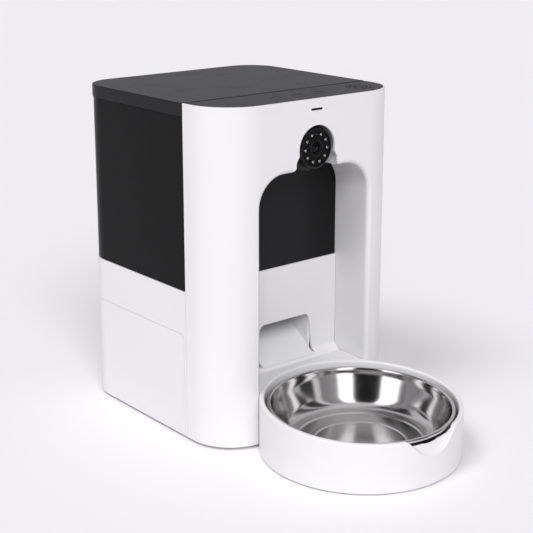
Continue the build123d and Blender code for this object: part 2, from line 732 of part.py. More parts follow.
def make_tray_feet():
    """Soft pads under the tray."""
    pads = []
    for i in range(6):
        angle = math.radians(60 * i + 30)
        pads.append(drum(80 * math.cos(angle), TRAY_Y + 80 * math.sin(angle), 6, 0, 1))
    return Compound(pads)


def bowl_side():
    """Inner face of the bowl as (radius, height) corners, from the centre out to the rim."""
    return [(0, 7.2), (52, 7.2), (55, 9.2), (66, 9.2), (76, 14), (82, 26), (84.6, 40), (85.2, 44)]


def make_steel_bowl():
    """Pressed steel bowl with a rolled rim."""
    inner = bowl_side()
    outer = [(r + BOWL_SHEET * (0.2 if r < 60 else 1.0), z - BOWL_SHEET * (1.0 if r < 78 else 0.2))
             for r, z in reversed(inner)]
    outer[-1] = (0, inner[0][1] - BOWL_SHEET)
    sheet = revolve(Plane.XZ * make_face(Polyline(inner + outer, close=True)), Axis.Z)
    roll_r = BOWL_RIM_R - BOWL_ROLL
    roll = Pos(0, 0, BOWL_RIM_Z - BOWL_ROLL) * Torus(roll_r, BOWL_ROLL)
    return Pos(0, TRAY_Y, 0) * (sheet + roll)


SCREWS = [(-108.2, 82), (108.2, 82), (-108.2, 176), (108.2, 176)]
FEET = [(-92, 34), (92, 34), (-84, 196), (84, 196)]

NODES = {
    "front_shell": make_front_shell,
    "base_shell": make_base_shell,
    "hopper_collar": make_hopper_collar,
    "bottom_cover": make_bottom_cover,
    "bottom_screws": make_bottom_screws,
    "rubber_feet": make_rubber_feet,
    "deck_plate": make_deck_plate,
    "niche_window": make_niche_window,
    "chute_insert": make_chute_insert,
    "control_panel": make_control_panel,
    "button_board": make_button_board,
    "button_switches": make_button_switches,
    "speaker": make_speaker,
    "microphone": make_microphone,
    "indicator_lens": make_indicator_lens,
    "camera_housing": make_camera_housing,
    "camera_bezel": make_camera_bezel,
    "camera_led_plate": make_led_plate,
    "camera_leds": make_camera_leds,
    "light_sensor": make_light_sensor,
    "lens_ring": make_lens_ring,
    "camera_lens": make_camera_lens,
    "camera_board": make_camera_board,
    "hopper": make_hopper,
    "funnel": make_funnel,
    "dosing_chamber": make_dosing_chamber,
    "outlet_guard": make_outlet_guard,
    "rotor_hub": make_rotor_hub,
    "rotor_blades": make_rotor_blades,
    "lid": make_lid,
    "lid_seal": make_lid_seal,
    "desiccant_box": make_desiccant_box,
    "desiccant_sachet": make_desiccant_sachet,
    "desiccant_cover": make_desiccant_cover,
    "output_gear": make_output_gear,
    "idler_gear": make_idler_gear,
    "motor_pinion": make_motor_pinion,
    "idler_pin": make_idler_pin,
    "drive_shaft": make_drive_shaft,
    "shaft_bushes": make_shaft_bushes,
    "drive_coupling": make_drive_coupling,
    "gearbox_case": make_gearbox_case,
    "gearbox_cover": make_gearbox_cover,
    "motor": make_motor,
    "main_board": make_main_board,
    "board_parts": make_board_parts,
    "power_inlet": make_power_inlet,
    "drop_sensors": make_drop_sensors,
    "battery_box": make_battery_box,
    "battery_cells": make_battery_cells,
    "battery_door": make_battery_door,
    "bowl_tray": make_bowl_tray,
    "tray_feet": make_tray_feet,
    "steel_bowl": make_steel_bowl,
}

os.makedirs("parts", exist_ok=True)
for name, make in NODES.items():
    export_step(make(), f"parts/{name}.step")
for name, x in zip(("button_left", "button_middle", "button_right"), button_places()):
    export_step(make_button(x), f"parts/{name}.step")
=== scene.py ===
"""Looks of an automatic pet feeder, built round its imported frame.

Everything is in metres in the frame of the design: +X to the right seen from the front, the
front faces -Y, +Z up, and z = 0 is the floor. Shapes that repeat the design's own sizes read
them from the frame's boxes; finer shapes are surfaces worked out on grids of two parameters.
"""
import json
import logging
import math
from dataclasses import dataclass, field
from enum import Enum
from typing import Sequence

import bmesh
import bpy
import numpy as np
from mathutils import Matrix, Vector


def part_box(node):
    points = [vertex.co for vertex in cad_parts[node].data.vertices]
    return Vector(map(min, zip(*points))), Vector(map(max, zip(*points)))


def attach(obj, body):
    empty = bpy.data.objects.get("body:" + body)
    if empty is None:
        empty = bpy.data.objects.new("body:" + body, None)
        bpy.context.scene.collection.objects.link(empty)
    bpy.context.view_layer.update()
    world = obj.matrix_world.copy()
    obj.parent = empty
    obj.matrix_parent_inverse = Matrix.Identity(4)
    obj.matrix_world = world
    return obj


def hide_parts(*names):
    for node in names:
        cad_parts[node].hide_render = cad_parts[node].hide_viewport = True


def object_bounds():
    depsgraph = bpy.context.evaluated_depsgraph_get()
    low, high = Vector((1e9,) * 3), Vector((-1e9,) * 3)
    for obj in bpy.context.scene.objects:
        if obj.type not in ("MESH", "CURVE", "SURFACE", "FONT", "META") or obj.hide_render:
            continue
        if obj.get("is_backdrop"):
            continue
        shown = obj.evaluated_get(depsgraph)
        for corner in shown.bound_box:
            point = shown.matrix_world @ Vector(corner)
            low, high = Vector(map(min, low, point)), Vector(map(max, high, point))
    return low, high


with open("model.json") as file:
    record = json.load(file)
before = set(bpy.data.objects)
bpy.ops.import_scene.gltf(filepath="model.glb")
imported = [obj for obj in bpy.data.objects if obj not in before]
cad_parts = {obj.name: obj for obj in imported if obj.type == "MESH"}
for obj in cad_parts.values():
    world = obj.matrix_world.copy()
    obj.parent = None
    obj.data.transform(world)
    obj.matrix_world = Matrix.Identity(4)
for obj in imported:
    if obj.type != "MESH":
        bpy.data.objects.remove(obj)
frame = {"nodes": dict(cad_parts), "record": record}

log = logging.getLogger("feeder")
MM = 0.001


class Side(Enum):
    """Which way round a grid's faces are wound."""

    AS_IS = 1
    TURNED = -1


# ---------------------------------------------------------------- surfaces
def arc_corner(before: Sequence[float], corner: Sequence[float], after: Sequence[float],
               radius: float, steps: int) -> np.ndarray:
    """Rounds one corner of an outline with a circular arc.

    The arc touches both straight runs at a distance radius / tan(half the inner angle) from the
    corner, and its points turn evenly about its centre.

    Args:
        before: the point before the corner.
        corner: the corner itself.
        after: the point after the corner.
        radius: radius of the arc.
        steps: number of points on the arc.

    Returns:
        The arc's points, one row each.
    """
    p, a, b = (np.asarray(v, float) for v in (corner, before, after))
    u = (a - p) / np.linalg.norm(a - p)
    v = (b - p) / np.linalg.norm(b - p)
    inner = math.acos(float(np.clip(u @ v, -1, 1)))
    if radius <= 0 or inner > math.pi - 1e-3:
        return p[None]
    reach = radius / math.tan(inner / 2)
    bisector = (u + v) / np.linalg.norm(u + v)
    centre = p + bisector * radius / math.sin(inner / 2)
    start, end = p + u * reach - centre, p + v * reach - centre
    turn = math.pi - inner
    t = np.linspace(0, 1, steps)[:, None]
    return centre + (np.sin((1 - t) * turn) * start + np.sin(t * turn) * end) / math.sin(turn)


def rounded(corners: Sequence[Sequence[float]], steps: int = 6, hold: float = 0.25 * MM) -> np.ndarray:
    """Profile through corners, each rounded by its own radius.

    Beside each arc a holding point is added on the straight run, so that smooth shading stays
    flat on the flats.

    Args:
        corners: (across, up, radius) of each corner.
        steps: points on each arc.
        hold: distance of the holding points from the arcs.

    Returns:
        The profile's points, one (across, up) row each.
    """
    pts = [np.asarray(c[:2], float) for c in corners]
    rows = [pts[0][None]]
    for i in range(1, len(pts) - 1):
        arc = arc_corner(pts[i - 1], pts[i], pts[i + 1], corners[i][2], steps)
        if len(arc) > 1 and hold > 0:
            into = (pts[i - 1] - arc[0]) / max(np.linalg.norm(pts[i - 1] - arc[0]), 1e-9)
            out = (pts[i + 1] - arc[-1]) / max(np.linalg.norm(pts[i + 1] - arc[-1]), 1e-9)
            arc = np.vstack([arc[0] + into * hold, arc, arc[-1] + out * hold])
        rows.append(arc)
    rows.append(pts[-1][None])
    return np.vstack(rows)


def grid_faces(rows: int, cols: int, close_rows: bool, close_cols: bool) -> np.ndarray:
    """Quads between neighbouring points of a grid.

    Args:
        rows: number of rows of points.
        cols: number of points in a row.
        close_rows: whether the last row joins the first.
        close_cols: whether each row's last point joins its first.

    Returns:
        Vertex numbers, four to a face.
    """
    i = np.arange(rows if close_rows else rows - 1)[:, None]
    j = np.arange(cols if close_cols else cols - 1)[None]
    a = i * cols + j
    b = i * cols + (j + 1) % cols
    c = ((i + 1) % rows) * cols + (j + 1) % cols
    d = ((i + 1) % rows) * cols + j
    return np.stack([a, b, c, d], -1).reshape(-1, 4)


@dataclass
class Shape:
    """A mesh gathered from several grids."""

    points: list[np.ndarray] = field(default_factory=list)
    faces: list[np.ndarray] = field(default_factory=list)
    count: int = 0

    def grid(self, grid: np.ndarray, close_rows: bool = False, close_cols: bool = False,
             side: Side = Side.AS_IS) -> "Shape":
        """Adds a grid of points, shaped (rows, columns, 3), and its quads."""
        rows, cols = grid.shape[:2]
        quads = grid_faces(rows, cols, close_rows, close_cols)
        if side is Side.TURNED:
            quads = quads[:, ::-1]
        self.points.append(grid.reshape(-1, 3))
        self.faces.append(quads + self.count)
        self.count += rows * cols
        return self

    def mesh(self, name: str, sharp: float = 40.0) -> bpy.types.Object:
        """Makes the object, with its doubles merged and edges over an angle kept sharp.

        Args:
            name: the piece's name.
            sharp: edges that turn more than this many degrees stay sharp.

        Returns:
            The new object, linked to the scene.
        """
        data = bpy.data.meshes.new(name)
        data.from_pydata(np.vstack(self.points).tolist(), [], np.vstack(self.faces).tolist())
        data.update()
        weld(data)
        data.shade_smooth()
        data.set_sharp_from_angle(angle=math.radians(sharp))
        obj = bpy.data.objects.new(name, data)
        bpy.context.scene.collection.objects.link(obj)
        return obj


def weld(data: bpy.types.Mesh, distance: float = 1e-6) -> None:
    """Merges points that lie together and drops the faces that this closes up."""
    work = bmesh.new()
    work.from_mesh(data)
    bmesh.ops.remove_doubles(work, verts=work.verts, dist=distance)
    bmesh.ops.dissolve_degenerate(work, edges=work.edges, dist=distance)
    work.to_mesh(data)
    work.free()


def lathe(profile: np.ndarray, centre: Sequence[float], turns: int = 96,
          upright: bool = True) -> np.ndarray:
    """Surface of revolution.

    A profile point (r, h) at the angle a becomes centre + (r cos a, r sin a, h). When it isn't
    upright the axis is Y, and h counts forward, to -Y: centre + (r cos a, -h, r sin a).

    Args:
        profile: (radius, height) rows.
        centre: a point on the axis.
        turns: number of steps round.
        upright: whether the axis is Z.

    Returns:
        A grid with one row to a profile point.
    """
    a = np.linspace(0, 2 * np.pi, turns, endpoint=False)[None]
    r, h = profile[:, :1], profile[:, 1:2]
    u, v, w = r * np.cos(a), r * np.sin(a), h * np.ones_like(a)
    grid = np.stack([u, v, w] if upright else [u, -w, v], -1)
    return grid + np.asarray(centre, float)


def plan_path(low: Vector, high: Vector, front_r: float, rear_r: float, steps: int = 16) -> np.ndarray:
    """Closed outline seen from above: a rectangle with its front and rear corners rounded.

    Args:
        low: lowest corner of the rectangle.
        high: highest corner of the rectangle.
        front_r: radius of the two front corners.
        rear_r: radius of the two rear corners.
        steps: points on each corner's arc.

    Returns:
        (x, y) rows, anticlockwise seen from above.
    """
    corners = [(low.x, low.y, front_r), (high.x, low.y, front_r),
               (high.x, high.y, rear_r), (low.x, high.y, rear_r)]
    rows = []
    for i, (x, y, r) in enumerate(corners):
        before, after = corners[i - 1][:2], corners[(i + 1) % 4][:2]
        rows.append(arc_corner(before, (x, y), after, r, steps) if r > 0 else np.array([[x, y]]))
    return np.vstack(rows)


def outward(path: np.ndarray) -> np.ndarray:
    """Unit vectors that point out of a closed anticlockwise outline, by its chords' directions."""
    ahead = np.roll(path, -1, 0) - path
    ahead /= np.maximum(np.linalg.norm(ahead, axis=1, keepdims=True), 1e-12)
    behind = np.roll(ahead, 1, 0)
    mean = ahead + behind
    mean /= np.linalg.norm(mean, axis=1, keepdims=True)
    stretch = 1 / np.clip((mean * ahead).sum(1, keepdims=True), 0.3, 1)
    return np.stack([mean[:, 1], -mean[:, 0]], -1) * stretch


def carried(path: np.ndarray, profile: np.ndarray) -> np.ndarray:
    """Profile carried round an outline.

    A profile point (out, up) at an outline point p becomes p + out * n, at the height up, where
    n points out of the outline.

    Args:
        path: closed (x, y) outline.
        profile: (out, up) rows.

    Returns:
        A grid with one row to a profile point.
    """
    n = outward(path)
    xy = path[None] + profile[:, :1, None] * n[None]
    z = np.broadcast_to(profile[:, 1:2, None], xy.shape[:2] + (1,))
    return np.concatenate([xy, z], -1)


def lid_over(ring: np.ndarray, rows: int = 6) -> np.ndarray:
    """Flat fill of a ring of points: rings that shrink to its middle as their share goes to 0."""
    middle = ring.mean(0)
    share = np.linspace(1, 0, rows)[:, None, None]
    return middle + (ring[None] - middle) * share


def smooth_step(t: np.ndarray) -> np.ndarray:
    """Rises from 0 to 1 with level ends, as t squared times (3 - 2 t)."""
    t = np.clip(t, 0, 1)
    return t * t * (3 - 2 * t)


# ---------------------------------------------------------------- shader node groups
class Tree:
    """Short way to add nodes and links to one node tree."""

    def __init__(self, tree: bpy.types.NodeTree) -> None:
        """Keeps the tree that the nodes go into."""
        self.tree = tree

    def add(self, kind: str, links: dict | None = None, **values: object) -> bpy.types.Node:
        """Adds a node.

        Args:
            kind: the node's type.
            links: input name or number to a value, or to a socket to link from.
            **values: the node's own properties.

        Returns:
            The new node.
        """
        node = self.tree.nodes.new(kind)
        for key, value in values.items():
            setattr(node, key, value)
        for key, value in (links or {}).items():
            if isinstance(value, bpy.types.NodeSocket):
                self.tree.links.new(value, node.inputs[key])
            else:
                node.inputs[key].default_value = value
        return node

    def math(self, operation: str, a: object, b: object = 0.0) -> bpy.types.NodeSocket:
        """Adds a Math node and returns its result."""
        return self.add("ShaderNodeMath", {0: a, 1: b}, operation=operation).outputs[0]

    def scaled(self, value: object, low: float, high: float, to_low: object,
               to_high: object) -> bpy.types.NodeSocket:
        """Maps a value's range linearly onto another, clamped."""
        links = {"Value": value, "From Min": low, "From Max": high, "To Min": to_low, "To Max": to_high}
        return self.add("ShaderNodeMapRange", links).outputs[0]

    def blend(self, share: object, a: object, b: object, mode: str = "MIX") -> bpy.types.NodeSocket:
        """Adds a Mix node that goes from colour a to colour b, and returns its result."""
        links = {0: share, 6: a, 7: b}
        return self.add("ShaderNodeMix", links, data_type="RGBA", blend_type=mode).outputs[2]

    def noise(self, place: object, scale: object, detail: float, roughness: float = 0.5,
              distortion: float = 0.0) -> bpy.types.NodeSocket:
        """Adds a Noise Texture node and returns its value."""
        links = {"Vector": place, "Scale": scale, "Detail": detail, "Roughness": roughness,
                 "Distortion": distortion}
        return self.add("ShaderNodeTexNoise", links).outputs[0]


SURFACE_OUTPUTS = {"Color": "NodeSocketColor", "Roughness": "NodeSocketFloat",
                   "Height": "NodeSocketFloat"}


def new_group(name: str, inputs: dict[str, object]) -> tuple[bpy.types.NodeTree, Tree]:
    """Makes an empty shader node group with named sockets and a surface's three outputs.

    Args:
        name: the group's name.
        inputs: name to its default, a number or a colour.

    Returns:
        The group, and the helper that fills it.
    """
    group = bpy.data.node_groups.new(name, "ShaderNodeTree")
    for key, value in inputs.items():
        kind = "NodeSocketColor" if isinstance(value, tuple) else "NodeSocketFloat"
        socket = group.interface.new_socket(key, in_out="INPUT", socket_type=kind)
        socket.default_value = value
    for key, kind in SURFACE_OUTPUTS.items():
        group.interface.new_socket(key, in_out="OUTPUT", socket_type=kind)
    return group, Tree(group)


def moulded_group() -> bpy.types.NodeTree:
    """Moulded plastic: fine spark-eroded grain, slow drift of tone, and faint handling marks.

    Returns:
        The group, with Color, Roughness and Height outputs.
    """
    inputs = {"Tone": (0.8, 0.8, 0.8, 1.0), "Shade": (0.75, 0.75, 0.75, 1.0), "Grain Scale": 1500.0,
              "Roughness": 0.4, "Spread": 0.05, "Handling": 0.03}
    group, t = new_group("moulded_plastic", inputs)
    enter = t.add("NodeGroupInput").outputs
    place = t.add("ShaderNodeTexCoord").outputs["Object"]
    grain = t.noise(place, enter["Grain Scale"], 2.0, 0.55)
    pits = t.add("ShaderNodeTexVoronoi", {"Vector": place, "Scale": enter["Grain Scale"]}, feature="SMOOTH_F1")
    drift = t.noise(place, 9.0, 3.0)
    touch = t.noise(place, 38.0, 5.0, 0.62, 0.6)
    share = t.scaled(drift, 0.35, 0.65, 0.0, 1.0)
    color = t.blend(share, enter["Tone"], enter["Shade"])
    spread = t.math("MULTIPLY", t.math("SUBTRACT", grain, 0.5), enter["Spread"])
    handling = t.math("MULTIPLY", t.scaled(touch, 0.48, 0.72, 0.0, 1.0), enter["Handling"])
    rough = t.math("ADD", t.math("ADD", enter["Roughness"], spread), handling)
    height = t.math("ADD", t.math("MULTIPLY", grain, 0.6),
                    t.math("MULTIPLY", pits.outputs["Distance"], 0.4))
    t.add("NodeGroupOutput", {"Color": color, "Roughness": rough, "Height": height})
    return group


def spun_group() -> bpy.types.NodeTree:
    """Spun and polished steel: fine rings about an upright axis, with a few stronger ones.

    The rings are noise read along the distance from the axis and the height, with only a slow
    change round the axis. Inside Inner Radius the finish is rougher by Inner Extra.

    Returns:
        The group, with Color, Roughness and Height outputs.
    """
    inputs = {"Tone": (0.6, 0.6, 0.6, 1.0), "Shade": (0.5, 0.5, 0.5, 1.0), "Axis X": 0.0, "Axis Y": 0.0,
              "Ring Scale": 4000.0, "Roughness": 0.15, "Spread": 0.08, "Inner Radius": 0.0, "Inner Extra": 0.0}
    group, t = new_group("spun_steel", inputs)
    enter = t.add("NodeGroupInput").outputs
    place = t.add("ShaderNodeTexCoord").outputs["Object"]
    xyz = t.add("ShaderNodeSeparateXYZ", {0: place}).outputs
    x, y = t.math("SUBTRACT", xyz[0], enter["Axis X"]), t.math("SUBTRACT", xyz[1], enter["Axis Y"])
    radius = t.math("SQRT", t.math("ADD", t.math("MULTIPLY", x, x), t.math("MULTIPLY", y, y)))
    flat = t.add("ShaderNodeCombineXYZ", {0: t.math("MULTIPLY", x, 0.004), 1: t.math("ADD", radius, xyz[2]),
                                          2: t.math("MULTIPLY", y, 0.004)}).outputs[0]
    rings = t.noise(flat, enter["Ring Scale"], 4.0, 0.7)
    wide = t.noise(flat, t.math("MULTIPLY", enter["Ring Scale"], 0.08), 2.0)
    smudge = t.noise(place, 26.0, 5.0, 0.6)
    mixed = t.math("ADD", t.math("MULTIPLY", rings, 0.7), t.math("MULTIPLY", wide, 0.3))
    share = t.scaled(mixed, 0.35, 0.65, 0.0, 1.0)
    color = t.blend(share, enter["Tone"], enter["Shade"])
    lift = t.math("ADD", t.math("SUBTRACT", mixed, 0.5),
                  t.math("MULTIPLY", t.math("SUBTRACT", smudge, 0.5), 0.8))
    share = t.scaled(t.math("SUBTRACT", enter["Inner Radius"], radius), -0.004, 0.004, 0.0, 1.0)
    extra = t.math("MULTIPLY", enter["Inner Extra"], share)
    rough = t.math("ADD", t.math("ADD", enter["Roughness"], extra), t.math("MULTIPLY", lift, enter["Spread"]))
    t.add("NodeGroupOutput", {"Color": color, "Roughness": rough, "Height": mixed})
    return group


# ---------------------------------------------------------------- finishes
def tinted(color: Sequence[float], share: float) -> tuple[float, float, float, float]:
    """A colour made lighter or darker by a share, with alpha 1."""
    return tuple(min(1.0, c * share) for c in color[:3]) + (1.0,)


def dressed(name: str, group: bpy.types.NodeTree, values: dict[str, object],
            bump: tuple[float, float] | None = None) -> tuple[bpy.types.Material, bpy.types.Node]:
    """Makes a material whose colour, roughness and relief come from a shared group.

    Args:
        name: the material's name.
        group: the shared group.
        values: the group's inputs for this material.
        bump: strength and distance of the relief, or None for a surface without one.

    Returns:
        The material and its shader node.
    """
    mat = bpy.data.materials.new(name)
    mat.use_nodes = True
    t = Tree(mat.node_tree)
    shader = mat.node_tree.nodes["Principled BSDF"]
    effect = t.add("ShaderNodeGroup", node_tree=group)
    for key, value in values.items():
        effect.inputs[key].default_value = value
    links = mat.node_tree.links
    links.new(effect.outputs["Color"], shader.inputs["Base Color"])
    links.new(effect.outputs["Roughness"], shader.inputs["Roughness"])
    if bump:
        relief = {"Height": effect.outputs["Height"], "Strength": bump[0], "Distance": bump[1]}
        links.new(t.add("ShaderNodeBump", relief).outputs[0], shader.inputs["Normal"])
    return mat, shader


@dataclass(frozen=True)
class Plastic:
    """A moulded plastic or rubber, dressed with the moulded_plastic group."""

    name: str
    color: tuple[float, float, float]
    roughness: float = 0.4
    grain_scale: float = 1500.0
    bump: float = 0.06
    spread: float = 0.06
    handling: float = 0.03
    drift: float = 0.97
    coat: float = 0.0
    specular: float = 0.5
    subsurface: float = 0.0
    depth: float = 0.0002

    def material(self, groups: dict[str, bpy.types.NodeTree]) -> bpy.types.Material:
        """Builds the material from the shared groups."""
        values = {"Tone": tinted(self.color, 1.0), "Shade": tinted(self.color, self.drift),
                  "Grain Scale": self.grain_scale, "Roughness": self.roughness,
                  "Spread": self.spread, "Handling": self.handling}
        mat, shader = dressed(self.name, groups["moulded_plastic"], values, (self.bump, self.depth))
        shader.inputs["Specular IOR Level"].default_value = self.specular
        shader.inputs["Coat Weight"].default_value = self.coat
        shader.inputs["Coat Roughness"].default_value = 0.08
        shader.inputs["Subsurface Weight"].default_value = self.subsurface
        shader.inputs["Subsurface Radius"].default_value = (0.004, 0.004, 0.004)
        return mat


@dataclass(frozen=True)
class Steel:
    """A spun or drawn metal, dressed with the spun_steel group."""

    name: str
    color: tuple[float, float, float]
    axis: tuple[float, float] = (0.0, 0.0)
    roughness: float = 0.12
    spread: float = 0.06
    ring_scale: float = 4000.0
    bump: float = 0.03
    inner_radius: float = 0.0
    inner_extra: float = 0.0
    shade: float = 0.93
    depth: float = 0.0001

    def material(self, groups: dict[str, bpy.types.NodeTree]) -> bpy.types.Material:
        """Builds the material from the shared groups."""
        values = {"Tone": tinted(self.color, 1.0), "Shade": tinted(self.color, self.shade),
                  "Axis X": self.axis[0], "Axis Y": self.axis[1], "Ring Scale": self.ring_scale,
                  "Inner Radius": self.inner_radius, "Inner Extra": self.inner_extra,
                  "Roughness": self.roughness, "Spread": self.spread}
        mat, shader = dressed(self.name, groups["spun_steel"], values, (self.bump, self.depth))
        shader.inputs["Metallic"].default_value = 1.0
        return mat


@dataclass(frozen=True)
class Glass:
    """Coated lens glass, with its tint in the coating's colour."""

    name: str
    color: tuple[float, float, float]
    roughness: float = 0.03
    specular: float = 0.18

    def material(self, groups: dict[str, bpy.types.NodeTree]) -> bpy.types.Material:
        """Builds the material from the shared groups."""
        values = {"Tone": tinted(self.color, 1.0), "Shade": tinted(self.color, 0.8),
                  "Grain Scale": 300.0, "Roughness": self.roughness, "Spread": 0.01, "Handling": 0.01}
        mat, shader = dressed(self.name, groups["moulded_plastic"], values)
        shader.inputs["Specular IOR Level"].default_value = self.specular
        return mat


WHITE = (0.80, 0.795, 0.805)
BLACK = (0.006, 0.006, 0.0065)
CHARCOAL = (0.0095, 0.0095, 0.010)


@dataclass
class Palette:
    """The finishes of the feeder, each made once and shared by its pieces."""

    bowl_axis: tuple[float, float]
    made: dict[str, bpy.types.Material] = field(default_factory=dict)

    def finishes(self) -> dict[str, Plastic | Steel | Glass]:
        """Every finish, under the record's name for its material slot."""
        white = {"spread": 0.06, "handling": 0.02, "drift": 0.985, "specular": 0.35}
        gloss = {"spread": 0.03, "handling": 0.04, "drift": 0.9}
        satin = {"bump": 0.02, "spread": 0.04, "handling": 0.05, "drift": 0.9}
        dark = {"bump": 0.10, "spread": 0.08, "handling": 0.04, "drift": 0.9, "specular": 0.16}
        return {
            "white_shell": Plastic("white_satin_shell", WHITE, 0.36, bump=0.05, **white),
            "white_tray": Plastic("white_satin_tray", WHITE, 0.32, bump=0.04, **{**white, "spread": 0.05}),
            "white_door": Plastic("white_satin_door", (0.78, 0.78, 0.79), 0.38, bump=0.06, **white),
            "inner_plastic": Plastic("inner_grey_plastic", (0.62, 0.62, 0.63), 0.45, 1200, 0.08),
            "rubber": Plastic("black_rubber", (0.02, 0.02, 0.02), 0.75, 900, 0.15, specular=0.2),
            "screw_steel": Steel("zinc_plated_steel", (0.55, 0.55, 0.57), roughness=0.3),
            "window": Plastic("smoked_window", (0.0085, 0.0083, 0.009), 0.24, 1800, 0.02,
                              specular=0.16, **gloss),
            "panel": Plastic("charcoal_top_panel", CHARCOAL, 0.44, **dark),
            "button": Plastic("charcoal_button", CHARCOAL, 0.42, 1500, 0.08, 0.08, 0.05, 0.9,
                              specular=0.2),
            "circuit_board": Plastic("solder_mask_green", (0.01, 0.10, 0.035), 0.3, 500, 0.2, coat=0.5),
            "component": Plastic("black_component", (0.02, 0.02, 0.02), 0.5, 1200, 0.1),
            "speaker": Plastic("speaker_cone_black", (0.006, 0.006, 0.006), 0.7, 700, 0.3, specular=0.1),
            "indicator": Plastic("indicator_black", (0.003, 0.003, 0.0035), 0.2, bump=0.01, specular=0.2),
            "camera_black": Plastic("camera_satin_black", (0.004, 0.004, 0.0042), 0.26,
                                    specular=0.07, **satin),
            "bell_black": Plastic("camera_bell_black", (0.010, 0.010, 0.0105), 0.42,
                                  specular=0.35, **satin),
            "bezel": Plastic("bezel_gloss_black", (0.005, 0.005, 0.0053), 0.2, bump=0.01,
                             specular=0.25, **gloss),
            "led": Plastic("led_clear_dome", (0.42, 0.42, 0.43), 0.12, 800, 0.01, coat=1.0),
            "lens_glass": Glass("coated_lens", (0.0015, 0.001, 0.0025)),
            "lens_barrel": Plastic("lens_barrel_black", (0.006, 0.006, 0.0064), 0.30, bump=0.02,
                                   specular=0.18, **gloss),
            "hopper_dark": Plastic("smoked_tank", BLACK, 0.34, 1600, 0.05, 0.05, 0.05, 0.9, specular=0.07),
            "lid_dark": Plastic("charcoal_lid", CHARCOAL, 0.42, **dark),
            "silicone": Plastic("pale_silicone", (0.55, 0.56, 0.57), 0.55, 900, 0.05, subsurface=0.1),
            "rotor_plastic": Plastic("rotor_grey", (0.5, 0.5, 0.51), 0.42, 1200, 0.08),
            "paper": Plastic("sachet_paper", (0.78, 0.77, 0.72), 0.85, 400, 0.4),
            "gear_nylon": Plastic("natural_nylon", (0.74, 0.71, 0.62), 0.4, 1000, 0.06, subsurface=0.1),
            "bronze": Steel("sintered_bronze", (0.55, 0.36, 0.17), roughness=0.35),
            "cell": Steel("cell_jacket", (0.08, 0.085, 0.1), roughness=0.28),
            "bowl_steel": Steel("brushed_bowl_steel", (0.64, 0.635, 0.63), self.bowl_axis, 0.13, 0.10,
                                5000, 0.03, inner_radius=70 * MM, inner_extra=0.07),
            "led_reflector": Steel("led_reflector", (0.75, 0.75, 0.76), roughness=0.18),
        }

    def build(self) -> None:
        """Makes the groups and every material."""
        groups = {"moulded_plastic": moulded_group(), "spun_steel": spun_group()}
        for slot, finish in self.finishes().items():
            self.made[slot] = finish.material(groups)

    def dress_frame(self, record: dict) -> None:
        """Gives each node of the frame the finish of its slot.

        Args:
            record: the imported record.
        """
        for row in record["subparts"]:
            node = frame["nodes"][row["node"]]
            for material_slot in node.material_slots:
                material_slot.material = self.made[row["material_slot"]]


@dataclass
class Piece:
    """A new piece: its mesh, its finish, the body that it rides on and what it stands for."""

    obj: bpy.types.Object
    slot: str
    body: str
    nodes: tuple[str, ...] = ()

    def place(self, palette: Palette) -> None:
        """Dresses the piece and joins it to its body."""
        self.obj.data.materials.append(palette.made[self.slot])
        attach(self.obj, self.body)
        if self.nodes:
            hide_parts(*self.nodes)


# ---------------------------------------------------------------- bowl and tray
@dataclass
class SteelBowl:
    """Pressed steel bowl with a rolled rim and a stepped floor.

    The rim follows the slope of the tray: height grows by slope times the distance from the
    front, in proportion to the height above the base.
    """

    roll: float = 1.9 * MM
    rim_inset: float = 1.2 * MM
    inner_rim: float = 85.2 * MM
    wall_foot: float = 74.0 * MM
    crease_r: float = 62.0 * MM
    crease_up: float = 3.2 * MM
    step_r: float = 46.0 * MM
    step_up: float = 0.6 * MM
    sheet: float = 0.9 * MM
    slope: float = 0.026
    bead_start: float = 172.0
    bead_end: float = -205.0

    def profile(self, rim_r: float, top: float, base: float) -> np.ndarray:
        """Section from the centre of the floor, up the inside, round the roll and back outside.

        Args:
            rim_r: the rim's outer radius.
            top: height of the rim's top.
            base: height of the underside.

        Returns:
            (radius, height) rows.
        """
        floor = base + self.sheet
        crease = floor + self.crease_up
        inside = rounded([
            (0, floor, 0),
            (self.step_r - 2.0 * MM, floor, 2 * MM),
            (self.step_r, floor + self.step_up, 3 * MM),
            (self.crease_r - 1.6 * MM, crease - 0.9 * MM, 2 * MM),
            (self.crease_r, crease, 1.5 * MM),
            (self.wall_foot, crease + 2.6 * MM, 15 * MM),
            (self.inner_rim - 0.7 * MM, top - 7 * MM, 30 * MM),
            (self.inner_rim, top - 2.2 * MM, 0)], 9)
        middle = rim_r - self.roll
        a = np.radians(np.linspace(self.bead_start, self.bead_end, 40))
        bead = np.stack([middle + self.roll * np.cos(a), top - self.roll + self.roll * np.sin(a)], -1)
        outside = inside[::-1].copy()
        outside[:, 0] += np.linspace(self.sheet, 0, len(outside))
        outside[:, 1] -= np.linspace(0, self.sheet, len(outside))
        outside = outside[outside[:, 1] < top - 6 * MM]
        return np.vstack([inside[:-1], bead, outside])

    def build(self) -> list[Piece]:
        """Makes the bowl in place of its plain node."""
        low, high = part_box("steel_bowl")
        centre = ((low.x + high.x) / 2, (low.y + high.y) / 2, 0.0)
        profile = self.profile((high.x - low.x) / 2 - self.rim_inset, high.z, low.z)
        grid = lathe(profile, centre, 192)
        share = np.clip((grid[..., 2] - low.z) / (high.z - low.z), 0, 1)
        grid[..., 2] += self.slope * (grid[..., 1] - low.y) * share
        shape = Shape().grid(grid, close_cols=True, side=Side.TURNED)
        return [Piece(shape.mesh("bowl_shell", 60), "bowl_steel", "bowl", ("steel_bowl",))]


